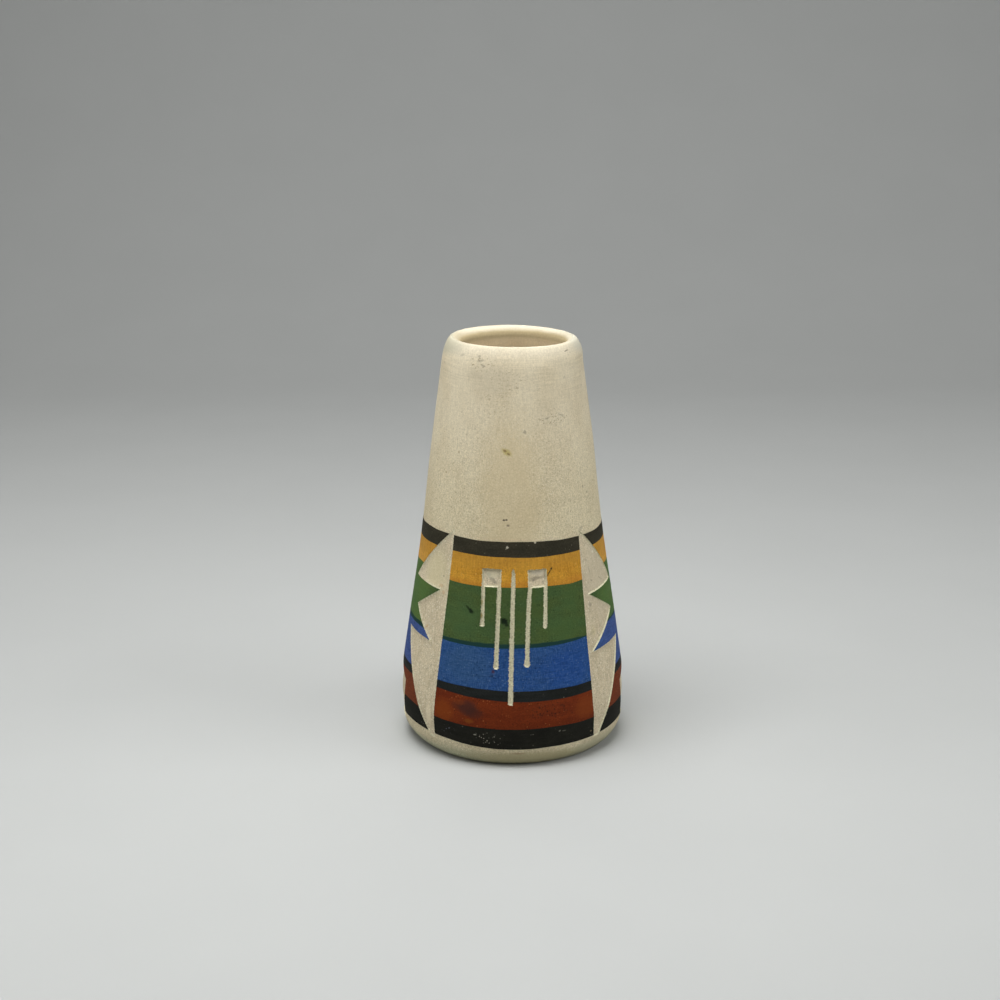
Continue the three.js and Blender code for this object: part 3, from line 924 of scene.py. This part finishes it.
def clay_wall():
    """Bare bisque: sandy grain that coarsens downwards, upright streaks, a pale lip, and painted shade on
    the foot.
    """
    f = Finish("bisque_clay", 0.9, 0.2)
    z = f.along("Z")
    grain = f.noise(0.5, 0.5, 0.65)
    streak = f.noise(0.55, 6, 0.6, 3)
    turning = f.noise(9, 0.5, 0.5, 5)
    cloud = f.noise(11, 16, 0.55, 9, 3)
    coarse = f.ramp(z, 140, 96, 0.4, 1)
    tone = f.mix(f.ramp(z, 85, 135), LOW_CLAY, HIGH_CLAY)
    tone = f.mix(f.ramp(z, 144, 149, 0, 0.85), tone, LIP_CLAY)
    colour = f.clouded(tone, cloud, 0.35, 0.68, [0.92, 0.9, 0.87])
    # Painted shade: the foot is darkened towards the floor
    foot_shade_edge = f.wavering(z, 3, 5, 3, 0.6, 4)
    colour = f.mix(f.ramp(foot_shade_edge, 8.5, 4), colour, SHADED_FOOT_CLAY)
    colour = f.mix(f.ramp(z, 0.12, 0.02), colour, f.clouded(BASE_CLAY, cloud, 0.35, 0.68, [0.85, 0.83, 0.8]))
    colour = f.shade(colour, f.patchy(grain, coarse), 0.25, 0.75, 0.78, 1.2)
    colour = f.shade(colour, streak, 0.35, 0.65, 0.95, 1.03)
    banded = f.ramp(f.noise(12, 9, 0.5, 6, 1), 0.4, 0.6)
    wheel_lines = f.times(f.ramp(z, 120, 136), banded)
    colour = f.shade(colour, f.patchy(turning, wheel_lines), 0.3, 0.7, 0.93, 1.05)
    light_grains = f.dots(0.62, 0.16, 0.42, 11)
    colour = f.spotted(colour, light_grains, [0.77, 0.71, 0.55], f.times(coarse, 0.6))
    clumped = f.ramp(f.noise(4.5, 5.5, 0.6, 16), 0.42, 0.6, 0.35, 1)
    dark_grains = f.times(f.dots(0.78, 0.24, 0.42, 12), clumped)
    colour = f.spotted(colour, dark_grains, [0.31, 0.255, 0.17], f.times(coarse, 0.65))
    smudge = f.ramp(f.noise(7, 6, 0.6, 14, 3), 0.54, 0.68)
    colour = f.spotted(colour, f.times(f.dots(0.75, 0.35, 0.4, 13), smudge), GREY_DIRT, 0.5)
    for number, (azimuth, height, wide, tall, strength) in enumerate(SPECKLED):
        dashes = f.ramp(f.noise(1.1, 0.55, 0.7, 70 + number), 0.56, 0.68)
        patch = f.times(f.mark(azimuth, height, wide, tall), dashes)
        colour = f.spotted(colour, patch, SPECKLE, strength)
    colour = f.blemished(colour, WALL_BLEMISHES)
    f.bump(f.patchy(grain, coarse), 0.06)
    f.bump(streak, 0.02)
    return f.colour(colour)


CARVED_BLEMISHES = [
    [58, 64, 9, 15, [0.53, 0.465, 0.335], 0.55],
    [-55, 68, 8, 10, [0.6, 0.53, 0.32], 0.6],
    # These two lighten the floor of the combs' squares against the hollow's shade: painted light
    [-14.6, 70.8, 3, 1.8, [0.69, 0.63, 0.44], 0.7],
    [13, 71.4, 3.2, 1.2, [0.69, 0.62, 0.48], 0.6],
    [-14.2, 69, 1.5, 0.8, GREY_DIRT, 0.5, 0.6, -35],
    [-12.4, 68, 0.9, 0.6, GREY_DIRT, 0.6, 0.6, -20],
    [-16.5, 70.6, 1, 0.7, GREY_DIRT, 0.25, 0.6],
    [12.4, 69.3, 2.6, 0.7, [0.2, 0.17, 0.12], 0.55, 0.6, 8],
    [10.4, 68.6, 0.8, 0.4, [0.16, 0.13, 0.1], 0.6, 0.6, 10],
    [-57.7, 47.4, 0.9, 0.6, [0.4, 0.24, 0.08], 0.5, 0.6, 40],
    [-46.5, 61.5, 0.8, 0.8, [0.5, 0.26, 0.12], 0.4, 0.6],
    [-48.9, 63.7, 1.3, 0.8, [0.46, 0.28, 0.15], 0.45, 0.6],
    [-47.6, 67.3, 0.5, 0.4, GREY_DIRT, 0.6, 0.6],
    [-59.2, 75, 0.5, 0.4, GREY_DIRT, 0.6, 0.6],
    [62.2, 64, 0.9, 0.25, GREY_DIRT, 0.7, 0.5, -45],
    [64.5, 63.2, 0.8, 0.25, GREY_DIRT, 0.6, 0.5, -45],
    [51.3, 68.6, 0.35, 1.6, GREY_DIRT, 0.5, 0.6, 8],
    [57.3, 74.3, 0.6, 0.5, [0.74, 0.7, 0.56], 0.8],
    [48.5, 56.3, 1, 0.9, GREY_DIRT, 0.5, 0.7],
    [49, 46.4, 1.6, 2.2, [0.36, 0.31, 0.14], 0.35, 0.7],
    [49.5, 72.5, 0.6, 0.35, GREY_DIRT, 0.5, 0.6, -30],
    [52.5, 64.5, 0.8, 0.35, GREY_DIRT, 0.5, 0.6, -20],
    [51, 34, 0.4, 0.4, GREY_DIRT, 0.4],
    [52, 17.5, 0.4, 0.8, GREY_DIRT, 0.35, 0.6, 20],
    [-49.6, 16, 1.8, 4.5, [0.75, 0.66, 0.47], 0.65],
]


def clay_carved():
    """Floor of the pockets: clay cut with a knife, with its faint chatter, small pits and dirt."""
    f = Finish("carved_clay", 0.88, 0.2)
    grain = f.noise(0.45, 0.45, 0.65, 2)
    cloud = f.noise(6, 8, 0.6, 4, 3)
    scrape = f.noise(2.2, 0.7, 0.5, 6, 1)
    colour = f.clouded(CARVED_CLAY, cloud, 0.35, 0.7, [0.9, 0.885, 0.86])
    scraped = f.noise(1.4, 2.6, 0.6, 7)
    colour = f.shade(colour, grain, 0.25, 0.75, 0.76, 1.2)
    colour = f.shade(colour, scraped, 0.3, 0.7, 0.93, 1.06)
    colour = f.spotted(colour, f.dots(0.8, 0.24, 0.44, 22), [0.78, 0.72, 0.56], 0.7)
    pitted = f.ramp(f.noise(5, 6, 0.6, 24), 0.42, 0.6)
    colour = f.spotted(colour, f.times(f.dots(0.85, 0.3, 0.42, 23), pitted), GREY_DIRT, 0.6)
    colour = f.blemished(colour, CARVED_BLEMISHES)
    f.bump(grain, 0.04)
    f.bump(scrape, 0.06)
    return f.colour(colour)


CUT_BLEMISHES = [
    [-19.7, 56, 0.5, 1.1, [0.27, 0.19, 0.05], 0.8, 0.6],
    [-19.9, 60.8, 0.35, 1.6, [0.36, 0.29, 0.1], 0.7, 0.6],
    [-17.5, 58.6, 0.35, 1.6, [0.4, 0.34, 0.14], 0.6, 0.6],
]


def clay_lit_cut():
    """Sides and edges of the pockets, and the prongs: clay painted lighter than the floor as a painted
    highlight, with grains torn out of it.
    """
    f = Finish("highlit_cut_clay", 0.9, 0.15)
    grain = f.noise(0.5, 0.5, 0.65, 2)
    colour = f.shade(LIT_CUT_CLAY, grain, 0.25, 0.75, 0.78, 1.15)
    colour = f.spotted(colour, f.dots(0.8, 0.3, 0.44, 26), [0.36, 0.29, 0.15], 0.65)
    colour = f.blemished(colour, CUT_BLEMISHES)
    f.bump(grain, 0.05)
    return f.colour(colour)


# Painted shade on the lip's inner side at the left and the right
INNER_LIP_SIDE_SHADE = [
    [-88, 148.5, 15, 6, [0.47, 0.41, 0.28], 0.85, 0.4],
    [90, 148.5, 14, 6, [0.5, 0.455, 0.34], 0.75, 0.4],
]


def clay_inside():
    """Inside of the vase: darker tan slip, a band of painted shade just under the lip, and turning rings."""
    f = Finish("inner_clay", 0.85, 0.2)
    z = f.along("Z")
    grain = f.noise(0.5, 0.5, 0.6, 1)
    rings = f.noise(30, 1.6, 0.5, 8)
    cloud = f.noise(12, 10, 0.6, 12, 3)
    colour = f.clouded(INNER_CLAY, cloud, 0.3, 0.7, [0.9, 0.87, 0.84])
    mouth_band_height = f.wavering(z, 0.8, 5, 5, 0.5, 15)
    # Painted shade: a darker tan band just inside the mouth, under the lip
    colour = f.mix(f.ramp(mouth_band_height, 144.6, 147.6), colour, MOUTH_SHADE_TAN)
    colour = f.mix(f.ramp(mouth_band_height, 148.2, 149.9), colour, f.blemished(LIP_CLAY, INNER_LIP_SIDE_SHADE))
    colour = f.shade(colour, rings, 0.3, 0.7, 0.95, 1.04)
    colour = f.shade(colour, grain, 0.3, 0.7, 0.93, 1.06)
    f.bump(grain, 0.03)
    f.bump(rings, 0.1)
    return f.colour(colour)


def paint(name, colour, clouded, streak, light, dark, shift, *side_sheen):
    """Brushed matte paint: cloudy cover, fine uneven strokes, and grains that show light or dark.

    Light and dark are each [colour, share of the cells, strength]. The side sheen is the colour and strength
    of a painted sheen on the side panels.
    """
    f = Finish(name, 0.78, 0.08)
    patches = f.ramp(f.noise(6, 4, 0.5, shift + 2), 0.38, 0.6, 0.35, 1)
    strokes = f.patchy(f.noise(7, 0.4, 0.65, shift, 3), patches)
    broad = f.noise(20, 1.8, 0.5, shift + 4)
    cloud = f.noise(8, 5, 0.6, shift + 7, 3)
    grain = f.noise(0.5, 0.5, 0.65)
    made = f.mix(f.ramp(cloud, 0.36, 0.68), colour, clouded)
    made = f.shade(made, strokes, 0.28, 0.72, 1 - streak, 1 + streak)
    made = f.shade(made, broad, 0.3, 0.7, 1 - streak * 0.6, 1 + streak * 0.6)
    made = f.shade(made, grain, 0.25, 0.75, 0.8, 1.19)
    flecked = f.ramp(f.noise(4.5, 3.5, 0.6, shift + 9), 0.4, 0.6, 0.25, 1)
    for number, (spot, share, strength) in enumerate((light, dark)):
        dots = f.times(f.dots(0.74, share, 0.44, shift + 11 + number), flecked)
        made = f.spotted(made, dots, spot, strength)
    if side_sheen:
        # Painted sheen: the side panels are made lighter and paler
        made = f.spotted(made, f.at_side(), *side_sheen)
    f.bump(grain, 0.045)
    f.bump(strokes, 0.02)
    return f, made


PALE_FLECK = [0.36, 0.34, 0.27]
SOOT = [0.005, 0.005, 0.005]
# Tint of a painted sheen on the side panels
SIDE_SHEEN_TINT = [0.75, 0.65, 0.45]

LOWER_BLACK_BLEMISHES = [
    [-20.9, 12.6, 0.7, 0.25, PALE_FLECK, 0.7, 0.4],
    [22, 13.6, 0.5, 0.35, PALE_FLECK, 0.35, 0.6, 30],
    [24.5, 13.4, 0.9, 0.25, PALE_FLECK, 0.2, 0.6],
    [41.6, 10.3, 0.5, 0.35, [0.22, 0.17, 0.1], 0.7, 0.6],
    [-35.3, 13.3, 0.3, 0.3, [0.15, 0.16, 0.2], 0.6, 0.4],
    [-37, 12.8, 0.25, 0.25, [0.15, 0.16, 0.2], 0.6, 0.4],
]
UPPER_BLACK_BLEMISHES = [
    [-5.4, 80.7, 0.55, 0.5, [0.5, 0.46, 0.36], 0.9, 0.6, 30],
    [-6.2, 80.1, 0.3, 0.25, [0.4, 0.36, 0.28], 0.4, 0.6],
    [11.8, 82.3, 0.45, 0.55, [0.5, 0.45, 0.33], 0.9],
]
RED_BLEMISHES = [
    [-25, 22.4, 4.4, 3.3, [0.045, 0.019, 0.015], 0.75, 0.35],
    [-21.4, 20.8, 4.4, 2.3, [0.05, 0.017, 0.012], 0.6, 0.4],
    [-30, 22.8, 3.4, 2, [0.06, 0.02, 0.012], 0.5, 0.4],
    [-29.5, 24, 3, 1.2, [0.2, 0.042, 0.008], 0.4],
    [-24, 17.6, 2.2, 1, [0.24, 0.075, 0.012], 0.45],
    [-38.5, 19.5, 5, 5, [0.21, 0.045, 0.006], 0.6],
    [38, 20.5, 6, 5, [0.2, 0.044, 0.009], 0.6],
]
BLUE_BLEMISHES = [
    [-27, 38, 12, 9, [0.033, 0.087, 0.19], 0.7, 0.4],
    [28, 36, 11, 9, [0.014, 0.062, 0.25], 0.6, 0.4],
    [-12.1, 36.4, 0.7, 0.9, [0.06, 0.02, 0.03], 0.85, 0.6],
    [-13, 34.8, 0.9, 0.6, [0.012, 0.015, 0.03], 0.6, 0.6],
    [8.4, 34, 0.16, 3.8, [0.07, 0.14, 0.26], 0.35, 0.2],
    [16, 33.5, 7, 0.16, [0.006, 0.022, 0.08], 0.5, 0.4],
    [20, 35.8, 6, 0.14, [0.006, 0.022, 0.08], 0.45, 0.4],
    [-26, 39.6, 5, 0.16, [0.07, 0.14, 0.25], 0.4, 0.4],
    [-22, 34.4, 6, 0.16, [0.008, 0.026, 0.08], 0.45, 0.4],
]
GREEN_BLEMISHES = [
    [1, 59, 9, 9, [0.044, 0.074, 0.024], 0.22, 0.4],
    [-32, 54, 8, 6, [0.06, 0.115, 0.04], 0.45, 0.4],
    [28, 50, 9, 5, [0.06, 0.115, 0.034], 0.4, 0.4],
    [33, 61, 4, 7, [0.056, 0.108, 0.034], 0.35, 0.4],
    [-26, 57.3, 1.5, 0.85, [0.008, 0.015, 0.007], 0.95, 0.5, -35],
    [-28.2, 58.5, 1.1, 0.5, [0.011, 0.02, 0.009], 0.8, 0.5, -40],
    [-6.6, 54.6, 1.6, 1.3, [0.006, 0.013, 0.006], 1, 0.5, -35],
    [-5.2, 53.2, 0.8, 0.7, [0.006, 0.013, 0.006], 0.8],
]
OCHRE_BLEMISHES = [
    [21.6, 72.4, 0.42, 0.7, [0.04, 0.03, 0.015], 0.95, 0.4, -35],
    [20.1, 71.2, 0.34, 1.1, [0.07, 0.045, 0.015], 0.9, 0.4, -38],
    [19.2, 70.4, 0.32, 0.7, [0.1, 0.06, 0.02], 0.8, 0.4, -20],
]


def make_paints():
    finishes = {}
    f, made = paint("lower_black_paint", [0.0118, 0.0116, 0.0087], [0.0154, 0.0152, 0.011], 0.14,
                    [[0.16, 0.15, 0.12], 0.03, 0.6], [SOOT, 0.1, 0.5], 30)
    made = f.dotted(made, [-14.5, 11.6, 5.4, 2.4, 0.5, -8], [0.66, 0.34, 0.42, 61], PALE_FLECK, 0.8)
    made = f.dotted(made, [-36, 12.6, 3.4, 1.8], [0.7, 0.25, 0.42, 65], [0.12, 0.13, 0.13], 0.7)
    made = f.blemished(made, LOWER_BLACK_BLEMISHES)
    finishes["lower_black"] = f.colour(made)

    f, made = paint("middle_black_paint", [0.012, 0.0138, 0.012], [0.0155, 0.0175, 0.0165], 0.14,
                    [[0.14, 0.13, 0.1], 0.03, 0.6], [SOOT, 0.1, 0.5], 32)
    finishes["middle_black"] = f.colour(made)

    f, made = paint("upper_black_paint", [0.03, 0.0275, 0.0175], [0.038, 0.034, 0.0215], 0.12,
                    [[0.16, 0.14, 0.1], 0.05, 0.5], [[0.012, 0.011, 0.008], 0.14, 0.6], 34, SIDE_SHEEN_TINT, 0.005)
    made = f.blemished(made, UPPER_BLACK_BLEMISHES)
    finishes["upper_black"] = f.colour(made)

    f, made = paint("red_paint", [0.148, 0.0265, 0.0062], [0.122, 0.0205, 0.0052], 0.1,
                    [[0.36, 0.11, 0.035], 0.12, 0.6], [[0.035, 0.011, 0.006], 0.26, 0.75], 40, SIDE_SHEEN_TINT, 0.018)
    made = f.blemished(made, RED_BLEMISHES)
    made = f.dotted(made, [17, 21.8, 8.5, 3.2], [0.9, 0.5, 0.46, 62], [0.025, 0.012, 0.007], 0.85)
    finishes["red"] = f.colour(made)

    f, made = paint("blue_paint", [0.0185, 0.066, 0.215], [0.024, 0.073, 0.205], 0.1,
                    [[0.09, 0.165, 0.3], 0.2, 0.6], [[0.004, 0.014, 0.06], 0.22, 0.75],
                    44, [0.6, 0.4, 0.95], 0.05)
    made = f.blemished(made, BLUE_BLEMISHES)
    made = f.spotted(made, f.dots(0.8, 0.1, 0.44, 63), [0.1, 0.18, 0.3], 0.5)
    for wide, tall, shift in ((2.4, 0.3, 63.5), (0.3, 1.8, 64.5)):
        stroke = f.noise(wide, tall, 0.5, shift, 1)
        made = f.spotted(made, f.ramp(stroke, 0.56, 0.68), [0.06, 0.13, 0.28], 0.35)
        made = f.spotted(made, f.ramp(stroke, 0.44, 0.32), [0.006, 0.026, 0.1], 0.4)
    made = f.dotted(made, [-17, 36.5, 6.5, 5], [0.95, 0.5, 0.44, 66], [0.005, 0.018, 0.06], 0.6)
    finishes["blue"] = f.colour(made)

    f, made = paint("green_paint", [0.053, 0.095, 0.032], [0.062, 0.096, 0.028], 0.08,
                    [[0.11, 0.17, 0.07], 0.1, 0.55], [[0.014, 0.026, 0.011], 0.15, 0.7],
                    48, [0.25, 0.55, 0.12], 0.09)
    made = f.blemished(made, GREEN_BLEMISHES)
    uneven_edge = f.wavering(f.along("Z"), 0.9, 3.5, 0.9, 0.5, 51)
    uneven_edge = f.math("SUBTRACT", uneven_edge, f.times(f.at_side(), 1.6))
    overlap = f.ramp(uneven_edge, EDGES[4] + 1.4, EDGES[4] + 0.95)
    made = f.mix(overlap, made, [0.012, 0.042, 0.036])
    finishes["green"] = f.colour(made)

    f, made = paint("ochre_paint", [0.56, 0.287, 0.035], [0.49, 0.237, 0.028], 0.06,
                    [[0.63, 0.43, 0.15], 0.08, 0.5], [[0.24, 0.115, 0.025], 0.16, 0.6], 54, SIDE_SHEEN_TINT, 0.05)
    low_edge = f.wavering(f.along("Z"), 3, 8, 2, 0.5, 55)
    tint = f.times(f.ramp(low_edge, EDGES[5] + 4.4, EDGES[5] + 1.6), 0.55)
    made = f.mix(tint, made, [0.46, 0.185, 0.025])
    made = f.mix(f.ramp(low_edge, EDGES[6] - 4.5, EDGES[6], 0, 0.5), made, [0.4, 0.21, 0.034])
    dragged = f.noise(0.7, 5, 0.6, 57)
    made = f.shade(made, dragged, 0.32, 0.68, 0.9, 1.07)
    made = f.blemished(made, OCHRE_BLEMISHES)
    finishes["ochre"] = f.colour(made)
    return finishes


# Stage, lights and camera

LAMP_AIM = (0, 0, 0.07)
CAMERA_DISTANCE = 660
CAMERA_HEIGHT = 273.1
CAMERA_AZIMUTH = -2.2
CAMERA_HEADING = 1.8
CAMERA_PITCH = 15.6
CAMERA_LENS = 67.19


def stage_floor():
    """Pale floor that curves up into a backdrop."""
    half_width, front, back, rise, bend = 4500, -4500, 1100, 2400, 500
    section = [(front, 0)]
    for t in np.linspace(0, math.pi / 2, 25):
        section.append((back - bend + bend * math.sin(t), bend - bend * math.cos(t)))
    section.append((back, rise))
    points = [(x, y, z) for x in (-half_width, half_width) for y, z in section]
    count = len(section)
    faces = [(i + 1, i, i + count, i + count + 1) for i in range(count - 1)]
    f = Finish("pale_floor", 0.9, 0.1)
    tone = f.noise(60, 60)
    grey = f.mix(tone, [0.43, 0.44, 0.43], [0.45, 0.46, 0.45])
    new_mesh("floor", points, faces, [f.colour(grey)])


def softbox(name, place, size, power):
    """Square lamp aimed at the middle of the vase."""
    lamp = bpy.data.lights.new(name, "AREA")
    lamp.shape = "RECTANGLE"
    lamp.size = lamp.size_y = size
    lamp.energy = power
    holder = placed(name, lamp)
    holder.location = place
    holder.rotation_mode = "QUATERNION"
    holder.rotation_quaternion = (Vector(LAMP_AIM) - Vector(place)).to_track_quat("-Z", "Y")


def lights():
    softbox("top_softbox", (-0.08, -0.12, 0.62), 0.4, 4.4)
    softbox("right_softbox", (1.1, -0.4, 0.8), 0.9, 8.4)
    softbox("left_softbox", (-1.1, -0.2, 0.7), 0.9, 3.7)
    softbox("back_softbox", (0, 0.6, 1.1), 0.9, 2.8)
    world = bpy.data.worlds.new("studio")
    world.use_nodes = True
    background = world.node_tree.nodes["Background"]
    background.inputs["Color"].default_value = (1, 1, 1, 1)
    background.inputs["Strength"].default_value = 0.06
    bpy.context.scene.world = world


def camera():
    """Camera at the photograph's viewing angle: slightly left of the front's middle, looking down."""
    data = bpy.data.cameras.new("camera")
    data.sensor_width = 36
    data.lens = CAMERA_LENS
    data.clip_start, data.clip_end = 0.01, 20
    holder = placed("camera", data)
    a = math.radians(CAMERA_AZIMUTH)
    place = (CAMERA_DISTANCE * math.sin(a), -CAMERA_DISTANCE * math.cos(a), CAMERA_HEIGHT)
    holder.location = Vector(place) * MM
    holder.rotation_euler = (math.radians(90 - CAMERA_PITCH), 0, -math.radians(CAMERA_HEADING))
    bpy.context.scene.camera = holder


camera()
zone = decorated_zone()
kinds = classify(*zone)
body = clay_body(zone, kinds, [clay_wall(), clay_carved(), clay_inside(), clay_lit_cut()])
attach(body, "root")
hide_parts("vase_body")
painted_fields(zone, kinds, make_paints())
stage_floor()
lights()

bpy.context.scene.view_settings.view_transform = "Standard"
